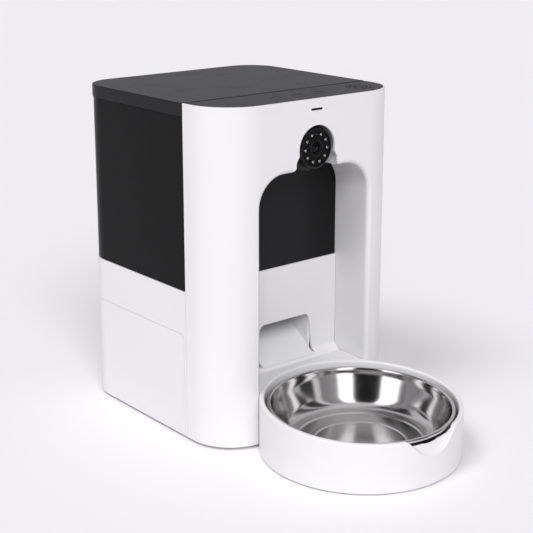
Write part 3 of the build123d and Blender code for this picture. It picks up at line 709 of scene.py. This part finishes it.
@dataclass
class BowlTray:
    """Round tray with a sloping rim, a thumb scoop in front and a tongue at the back."""

    wall: float = 4.8 * MM
    slope: float = 0.03
    extra_slope: float = 0.010
    floor: float = 5.0 * MM
    tongue_half: float = 68.3 * MM
    notch_half: float = 30.6 * MM
    notch_flat: float = 13.0 * MM
    notch_round: float = 24.0 * MM
    notch_up: float = 30.0 * MM
    scoop_r: float = 87.6 * MM
    scoop_rise: float = 8.6 * MM
    scoop_top: float = 39.6 * MM
    climb_start: float = -28.0 * MM
    climb_run: float = 13.0 * MM
    shoulder: float = 5.0 * MM
    rim_edge: float = 1.5 * MM
    foot_edge: float = 1.2 * MM
    floor_edge: float = 4.0 * MM
    tongue_edge: float = 1.2 * MM
    tongue_drop: float = 60.0 * MM
    turns: int = 480

    def frame_sizes(self) -> None:
        """Reads the tray's place and radius from the frame."""
        low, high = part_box("bowl_tray")
        self.radius = (high.x - low.x) / 2
        self.centre_y = low.y + self.radius
        self.under = low.z
        self.end_y = high.y
        self.end_z = high.z

    def rim(self, y: np.ndarray) -> np.ndarray:
        """Height of the rim's plane at a place along the tray."""
        base = self.end_z - self.slope * (self.end_y - y)
        return base + self.extra_slope * (y - self.centre_y + self.radius)

    def notch(self, x: np.ndarray, y: np.ndarray) -> np.ndarray:
        """Height of the wall's top, with the scoop's outline cut in at the front.

        The outline is a wide valley with a large rounding at its foot and small ones at its
        shoulders, given as height over the distance from the middle.
        """
        rim = self.rim(np.array(self.centre_y - self.radius))
        far = 80 * MM
        corners = [(-far, rim, 0), (-self.notch_half, rim, self.shoulder),
                   (-self.notch_flat, self.notch_up, self.notch_round),
                   (self.notch_flat, self.notch_up, self.notch_round),
                   (self.notch_half, rim, self.shoulder), (far, rim, 0)]
        valley = rounded(corners, 24)
        drop = rim - np.interp(x, valley[:, 0], valley[:, 1])
        return self.rim(y) - np.where(y < self.centre_y, drop, 0.0)

    def wall_grid(self) -> np.ndarray:
        """Wall and floor of the round tray.

        At each angle a profile runs from under the edge, up the outside, over the rim and down
        the inside to the middle of the floor. In the scoop the inside moves in to a ledge, and
        the top climbs from the low outer lip to the ledge along a dished slope.

        Returns:
            The grid, with one row to a profile point.
        """
        a = np.linspace(0, 2 * np.pi, self.turns, endpoint=False) - np.pi / 2
        x, y = self.radius * np.cos(a), self.centre_y + self.radius * np.sin(a)
        top = self.notch(x, y)
        share = smooth_step((self.rim(y) - top) / (4 * MM))
        inner = (self.radius - self.wall) * (1 - share) + self.scoop_r * share
        climb = self.scoop_rise * smooth_step((x - self.climb_start) / self.climb_run) * share
        lip = np.minimum(top + climb, np.maximum(self.scoop_top, top * (1 - share)))
        lip = np.where(share > 0, np.maximum(lip, np.minimum(top, self.scoop_top)), top)
        edge, foot, bend, outer = self.rim_edge, self.foot_edge, self.floor_edge, self.radius
        soft = edge + 0.4 * MM * (1 - share)
        quarter = [(math.sin(q), math.cos(q)) for q in np.radians(np.linspace(0, 90, 7))]
        across = inner + soft - (outer - edge)
        rows = [(0, self.under), (outer - 3 * MM, self.under)]
        rows += [(outer - foot + foot * sin, self.under + foot * (1 - cos)) for sin, cos in quarter]
        rows += [(outer, self.under + 2 * MM), (outer, top - edge - MM)]
        rows += [(outer - edge + edge * cos, top - edge + edge * sin) for sin, cos in quarter]
        rows += [(outer - edge + across * v, top + (lip - top) * v ** 3)
                 for v in (0.12, 0.3, 0.5, 0.62, 0.74, 0.84, 0.93)]
        rows += [(inner + soft - soft * sin, lip - soft + soft * cos) for sin, cos in quarter]
        rows += [(inner, lip - soft - MM), (inner, self.floor + 5 * MM)]
        rows += [(inner - bend * (1 - cos), self.floor + bend * (1 - sin)) for sin, cos in quarter]
        rows += [(60 * MM, self.floor), (0, self.floor)]
        ones = np.ones_like(a)
        r = np.array([row[0] * ones for row in rows])
        z = np.array([row[1] * ones for row in rows])
        return np.stack([r * np.cos(a), self.centre_y + r * np.sin(a), z], -1)

    def tongue_grids(self) -> list[np.ndarray]:
        """Tongue from the round wall back to the end of the niche's floor.

        Across, the section runs up one side, over a rounded edge, along the top and down the
        other side. Along, a section point moves from the round wall to the tongue's end.

        Returns:
            The tongue's skin with its two ends, and its underside turned over.
        """
        edge, half = self.tongue_edge, self.tongue_half
        q = np.radians(np.linspace(0, 90, 6))
        flat = np.linspace(-half + 3 * MM, half - 3 * MM, 60)
        left = np.stack([-half + edge * (1 - np.cos(q)), -edge * (1 - np.sin(q))], -1)
        left = np.vstack([[[-half, -self.tongue_drop]], [[-half, -edge - 0.5 * MM]], left])
        across = np.vstack([left, np.stack([flat, np.zeros(60)], -1), left[::-1] * [-1, 1]])
        x, drop = across[:, 0], across[:, 1]
        start = self.centre_y + np.sqrt((self.radius - 2.2 * MM) ** 2 - x ** 2)
        v = np.linspace(0, 1, 24)[:, None]
        y = start[None] * (1 - v) + (self.end_y - 0.6 * MM) * v
        z = self.rim(y) + 0.03 * MM + drop[None]
        skin = np.stack([np.broadcast_to(x, y.shape), y, np.maximum(z, self.under + 2 * MM)], -1)
        nose = skin[-1].copy()
        nose[:, 1] = self.end_y
        nose[:, 2] -= 0.5 * MM
        whole = np.concatenate([skin[:1], skin, nose[None], nose[None]])
        whole[[0, -1], :, 2] = self.under + 2 * MM
        below = whole[:, ::-1].copy()
        below[..., 2] = self.under + 2 * MM
        return [whole, below]

    def build(self) -> list[Piece]:
        """Makes the tray in place of its plain node."""
        self.frame_sizes()
        shape = Shape().grid(self.wall_grid(), close_cols=True)
        for grid in self.tongue_grids():
            shape.grid(grid)
        return [Piece(shape.mesh("tray_shell", 50), "white_tray", "tray", ("bowl_tray",))]


# ---------------------------------------------------------------- camera
@dataclass
class Camera:
    """Round camera in the front: bell, bezel, light plate with ten lights, and the lens.

    Corners are (radius, forward, rounding) in millimetres from the bezel's front plane.
    """

    leds: int = 10
    led_ring: float = 13.6 * MM
    first: float = 24.0
    rim_back: float = -2.4
    plate_back: float = -0.8

    def frame_sizes(self) -> None:
        """Reads the camera's centre, its front plane and its radii from the frame."""
        low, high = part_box("camera_bezel")
        self.centre = ((low.x + high.x) / 2, low.y, (low.z + high.z) / 2)
        self.radius = (high.x - low.x) / 2 / MM
        low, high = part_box("camera_housing")
        self.bell_r = (high.x - low.x) / 2 / MM
        self.bell_end = (self.centre[1] - high.y) / MM

    def turned(self, corners: Sequence[Sequence[float]], turns: int = 96, steps: int = 6,
               centre: Sequence[float] | None = None) -> np.ndarray:
        """Surface of revolution about the camera's axis through rounded corners."""
        scaled = [tuple(c * MM for c in corner) for corner in corners]
        return lathe(rounded(scaled, steps, 0.06 * MM), centre or self.centre, turns, upright=False)

    def bell(self) -> Piece:
        """Black bell that flares out behind the camera's face."""
        end, r = self.bell_end, self.bell_r
        corners = [(0, -3.2, 0), (17.0, -3.2, 0.2), (19.5, -4.1, 0.3), (19.7, -7.0, 6),
                   (23.0, -12.0, 9), (r, -17, 9), (r, end, 0.5), (0, end, 0)]
        shape = Shape().grid(self.turned(corners, 160, 12), close_cols=True, side=Side.TURNED)
        return Piece(shape.mesh("camera_bell"), "bell_black", "housing", ("camera_housing",))

    def bezel(self) -> Piece:
        """Ring with a broad sloping edge round the camera's face."""
        r = self.radius
        corners = [(17.4, -3.0, 0), (17.4, -0.5, 0.2), (17.9, 0.0, 0.15), (18.5, 0.0, 0.25), (19.5, -1.2, 0.5),
                   (r, self.rim_back, 0.3), (r, -4.0, 0.2), (17.6, -4.0, 0)]
        shape = Shape().grid(self.turned(corners, 160, 5), close_rows=True, close_cols=True, side=Side.TURNED)
        return Piece(shape.mesh("bezel_ring"), "bezel", "housing", ("camera_bezel",))

    def led_centres(self) -> list[tuple[float, float, float]]:
        """Centre of each light on the ring, with a gap at the top for the daylight sensor."""
        step = (360 - 2 * self.first) / (self.leds - 1)
        angles = [math.radians(self.first + step * i) for i in range(self.leds)]
        x, y, z = self.centre
        return [(x + self.led_ring * math.sin(a), y, z + self.led_ring * math.cos(a)) for a in angles]

    def dome(self, spot: Sequence[float], radius: float, rise: float, base: float,
             turns: int = 24) -> np.ndarray:
        """Half ellipse turned about an axis through a spot: radius cos(a), rise sin(a)."""
        a = np.radians(np.linspace(0, 90, 8))
        profile = np.stack([radius * np.cos(a), base + rise * np.sin(a)], -1) * MM
        return lathe(profile, spot, turns, upright=False)

    def plate(self) -> list[Piece]:
        """Plate with a cup, a reflector and a dome for each light."""
        p = self.plate_back
        corners = [(8.0, p - 1.2, 0), (8.0, p, 0.2), (10.2, p, 0.2), (10.5, p - 0.25, 0.15),
                   (17.3, p - 0.25, 0.15), (17.5, p - 1.2, 0)]
        plate = Shape().grid(self.turned(corners, 128), close_rows=True, close_cols=True, side=Side.TURNED)
        rims, cups, domes = Shape(), Shape(), Shape()
        for spot in self.led_centres():
            rim = [(2.15, p - 0.3, 0), (2.1, p + 0.12, 0.1), (1.75, p + 0.14, 0.1), (1.6, p - 0.2, 0)]
            rims.grid(self.turned(rim, 28, 3, spot), close_rows=True, close_cols=True)
            cup = [(1.62, p - 0.1, 0), (1.0, p - 0.7, 0.2), (0, p - 0.72, 0)]
            cups.grid(self.turned(cup, 28, 3, spot), close_cols=True)
            domes.grid(self.dome(spot, 1.05, 0.75, p - 0.65), close_cols=True)
        return [Piece(plate.mesh("led_plate"), "camera_black", "housing", ("camera_led_plate",)),
                Piece(rims.mesh("led_rims"), "camera_black", "housing"),
                Piece(cups.mesh("led_cups"), "led_reflector", "housing"),
                Piece(domes.mesh("led_domes"), "led", "housing", ("camera_leds",))]

    def lens(self) -> list[Piece]:
        """Stepped lens holder and the domed glass in it."""
        ring = [(5.6, -8.0, 0), (5.6, -1.6, 0.2), (6.3, -0.9, 0.15), (6.5, -0.35, 0.1),
                (7.4, -0.2, 0.2), (8.1, -0.55, 0.2), (8.2, -2.2, 0)]
        holder = Shape().grid(self.turned(ring, 96, 4), close_rows=True, close_cols=True, side=Side.TURNED)
        a = np.radians(np.linspace(42, 0, 14))
        ball = 8.5
        dome = np.stack([ball * np.sin(a), -1.1 - ball + ball * np.cos(a)], -1) * MM
        glass = Shape().grid(lathe(dome, self.centre, 64, upright=False), close_cols=True)
        return [Piece(holder.mesh("lens_holder"), "lens_barrel", "housing", ("lens_ring",)),
                Piece(glass.mesh("lens_dome"), "lens_glass", "housing", ("camera_lens",))]

    def sensor(self) -> Piece:
        """Small daylight sensor at the top of the ring."""
        spot = (self.centre[0], self.centre[1], self.centre[2] + self.led_ring)
        shape = Shape().grid(self.dome(spot, 1.5, 0.4, self.plate_back - 0.3), close_cols=True)
        return Piece(shape.mesh("daylight_sensor"), "bezel", "housing", ("light_sensor",))

    def build(self) -> list[Piece]:
        """Makes every piece of the camera."""
        self.frame_sizes()
        return [self.bell(), self.bezel(), *self.plate(), *self.lens(), self.sensor()]


# ---------------------------------------------------------------- lid and buttons
@dataclass
class Lid:
    """Lid with a rounded top edge, a straight skirt, and a lip that goes inside the tank."""

    edge: float = 1.0 * MM
    skirt: float = 12.6 * MM
    rear_r: float = 35.0 * MM
    thick: float = 2.4 * MM
    lip: float = 5.0 * MM
    lip_thick: float = 2.0 * MM
    gap: float = 0.8 * MM

    def build(self) -> list[Piece]:
        """Makes the lid in place of its plain node."""
        low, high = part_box("lid")
        low.y += self.gap
        path = plan_path(low, high, 0.0, self.rear_r)
        foot, ceiling = high.z - self.skirt, high.z - self.thick
        back = -self.lip - self.lip_thick
        profile = rounded([
            (back - MM, ceiling, 0), (back, ceiling, 0), (back, low.z, 0.2 * MM),
            (-self.lip, low.z, 0.2 * MM), (-self.lip, ceiling, 0), (-self.thick, ceiling, 0),
            (-self.thick, foot, 0.1 * MM), (0, foot, 0.5 * MM), (0, high.z, self.edge),
            (-3 * MM, high.z, 0)], 7)
        grid = carried(path, profile)
        shape = Shape().grid(grid, close_cols=True)
        shape.grid(lid_over(grid[0]), close_cols=True, side=Side.TURNED)
        shape.grid(lid_over(grid[-1]), close_cols=True)
        return [Piece(shape.mesh("lid_shell", 50), "lid_dark", "lid", ("lid",))]


@dataclass
class Buttons:
    """Three round push buttons with a soft rim and a dished face."""

    names: tuple[str, ...] = ("button_left", "button_middle", "button_right")
    dish: float = 0.45 * MM
    collar_out: float = 1.2 * MM
    collar_up: float = 1.2 * MM

    def build(self) -> list[Piece]:
        """Makes each button in place of its plain node."""
        pieces = []
        for name in self.names:
            low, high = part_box(name)
            centre = ((low.x + high.x) / 2, (low.y + high.y) / 2, 0.0)
            collar = (high.x - low.x) / 2
            r = collar - self.collar_out
            face, ledge = high.z - self.dish, low.z + self.collar_up
            profile = rounded([
                (0, face, 0), (r - 3.0 * MM, face, 6 * MM), (r - 1.1 * MM, high.z, 0.8 * MM),
                (r, high.z - 0.1 * MM, 0.5 * MM), (r, ledge, 0), (collar, ledge, 0),
                (collar, low.z, 0), (0, low.z, 0)], 6)
            shape = Shape().grid(lathe(profile, centre, 64), close_cols=True, side=Side.TURNED)
            pieces.append(Piece(shape.mesh(f"{name}_cap"), "button", name, (name,)))
        return pieces


# ---------------------------------------------------------------- studio
@dataclass(frozen=True)
class Lamp:
    """A broad far lamp: where its light comes from, its power and its spread in degrees."""

    name: str
    source: tuple[float, float, float]
    power: float
    spread: float

    def place(self) -> None:
        """Adds the lamp, which mirrors don't show."""
        data = bpy.data.lights.new(self.name, "SUN")
        data.energy = self.power
        data.angle = math.radians(self.spread)
        obj = bpy.data.objects.new(self.name, data)
        obj.rotation_euler = (-Vector(self.source)).to_track_quat("-Z", "Y").to_euler()
        obj.visible_glossy = False
        bpy.context.scene.collection.objects.link(obj)


@dataclass
class Studio:
    """Pale floor, soft lights and the camera."""

    eye: tuple[float, float, float] = (-0.76139, -0.84194, 0.50852)
    yaw: float = 0.693
    pitch: float = 0.252
    focal: float = 2.307636
    sensor: float = 36.0
    shift: float = -0.093809
    pale: tuple[float, float, float] = (0.988, 0.968, 1.0)
    ambient: float = 0.34
    lamps: tuple[Lamp, ...] = (
        Lamp("key_light", (-0.38, -0.67, 0.62), 1.64, 30.0),
        Lamp("side_light", (-0.52, -0.02, 0.85), 1.05, 24.0),
        Lamp("fill_light", (-0.72, -0.66, 0.22), 0.22, 40.0))
    floor_tone: float = 0.915
    backdrop: float = 0.92

    def floor(self) -> None:
        """Wide round floor, with only a trace of unevenness in its tone."""
        profile = np.array([[0.0, 0.0], [0.6, 0.0], [2.0, 0.0], [60.0, 0.0]])
        disc = lathe(profile, (0, 0, -0.0002), 64)
        obj = Shape().grid(disc, close_cols=True, side=Side.TURNED).mesh("studio_floor")
        mat = bpy.data.materials.new("studio_paper")
        mat.use_nodes = True
        t = Tree(mat.node_tree)
        place = t.add("ShaderNodeTexCoord").outputs["Object"]
        noise = t.noise(place, 0.8, 1.0)
        low, high = tinted(self.pale, self.floor_tone), tinted(self.pale, self.floor_tone + 0.012)
        mix = t.blend(noise, low, high)
        shader = mat.node_tree.nodes["Principled BSDF"]
        mat.node_tree.links.new(mix, shader.inputs["Base Color"])
        shader.inputs["Roughness"].default_value = 0.7
        shader.inputs["Specular IOR Level"].default_value = 0.0
        obj.data.materials.append(mat)
        obj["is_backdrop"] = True

    def bands(self) -> list[tuple[float, float]]:
        """Brightness of the room round the camera, as (degrees to the camera's left, brightness).

        The room behind the camera is dark, with a tall softbox on each side of it and pale
        strips further round; behind the object it is as pale as the floor.
        """
        return [
            (-180, 0.66), (-120, 0.62), (-104, 0.10), (-94, 0.12), (-91, 0.6), (-86, 0.6),
            (-82, 0.04), (-64, 0.06), (-61, 0.9), (-56, 0.9), (-52, 0.28), (-29, 0.42),
            (-26, 2.2), (-8, 2.2), (-6, 0.015), (30, 0.015), (32, 2.2), (55, 2.0),
            (59, 0.34), (66, 0.18), (70, 0.05), (74, 1.3), (79, 1.3), (83, 0.16),
            (92, 0.04), (106, 0.05), (112, 0.3), (124, 0.62), (180, 0.66)]

    def world(self) -> None:
        """Even pale surroundings; glossy surfaces see the banded room instead."""
        world = bpy.data.worlds.new("studio_world")
        world.use_nodes = True
        t = Tree(world.node_tree)
        out = world.node_tree.nodes["Background"]
        way = t.add("ShaderNodeLightPath").outputs
        xyz = t.add("ShaderNodeSeparateXYZ", {0: t.add("ShaderNodeTexCoord").outputs["Generated"]}).outputs
        sin, cos = math.sin(self.yaw), math.cos(self.yaw)
        ahead = t.math("ADD", t.math("MULTIPLY", xyz[0], -sin), t.math("MULTIPLY", xyz[1], -cos))
        left = t.math("ADD", t.math("MULTIPLY", xyz[0], -cos), t.math("MULTIPLY", xyz[1], sin))
        turn = t.scaled(t.math("ARCTAN2", left, ahead), -math.pi, math.pi, 0.0, 1.0)
        ramp = t.add("ShaderNodeValToRGB", {0: turn})
        spots = self.bands()
        while len(ramp.color_ramp.elements) < len(spots):
            ramp.color_ramp.elements.new(0.5)
        for spot, (degrees, bright) in zip(ramp.color_ramp.elements, spots):
            spot.position = (degrees + 180) / 360
            spot.color = (bright / 2, bright / 2, bright / 2, 1.0)
        banded = t.math("MULTIPLY", ramp.outputs[0], 2.0)
        high = t.scaled(xyz[2], 0.80, 0.95, 0.0, 1.0)
        room = t.add("ShaderNodeMix", {0: high, 2: banded, 3: 0.75}, data_type="FLOAT").outputs[0]
        tint = tinted(self.pale, 1.0)
        glossy = t.blend(1.0, tint, room, "MULTIPLY")
        pale = t.blend(way["Is Glossy Ray"], tinted(self.pale, self.ambient), glossy)
        shown = t.blend(way["Is Camera Ray"], pale, tinted(self.pale, self.backdrop))
        world.node_tree.links.new(shown, out.inputs[0])
        out.inputs[1].default_value = 1.0
        bpy.context.scene.world = world

    def camera(self) -> None:
        """Camera at the front left, a little above, level across, its place taken from the front face."""
        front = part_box("front_shell")[0].y
        data = bpy.data.cameras.new("view")
        data.sensor_width = self.sensor
        data.lens = self.sensor * self.focal
        data.shift_y = self.shift
        data.clip_end = 100.0
        obj = bpy.data.objects.new("view", data)
        obj.location = (self.eye[0], front + self.eye[1], self.eye[2])
        flat = math.cos(self.pitch)
        ahead = Vector((math.sin(self.yaw) * flat, math.cos(self.yaw) * flat, -math.sin(self.pitch)))
        obj.rotation_euler = ahead.to_track_quat("-Z", "Y").to_euler()
        bpy.context.scene.collection.objects.link(obj)
        bpy.context.scene.camera = obj

    def build(self) -> None:
        """Makes the whole studio."""
        bpy.context.scene.view_settings.view_transform = "Standard"
        self.floor()
        self.world()
        for lamp in self.lamps:
            lamp.place()
        self.camera()


def main(cad_box: object) -> None:
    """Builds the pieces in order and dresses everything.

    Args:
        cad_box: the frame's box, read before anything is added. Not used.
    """
    logging.basicConfig(level=logging.INFO, format="%(name)s: %(message)s")
    low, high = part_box("steel_bowl")
    palette = Palette(((low.x + high.x) / 2, (low.y + high.y) / 2))
    palette.build()
    palette.dress_frame(frame["record"])
    for maker in (SteelBowl(), BowlTray(), Camera(), Lid(), Buttons()):
        for piece in maker.build():
            piece.place(palette)
            log.info("%s: %d faces, %s", piece.obj.name, len(piece.obj.data.polygons), piece.slot)
    Studio().build()


if __name__ == "__main__":
    main(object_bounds())
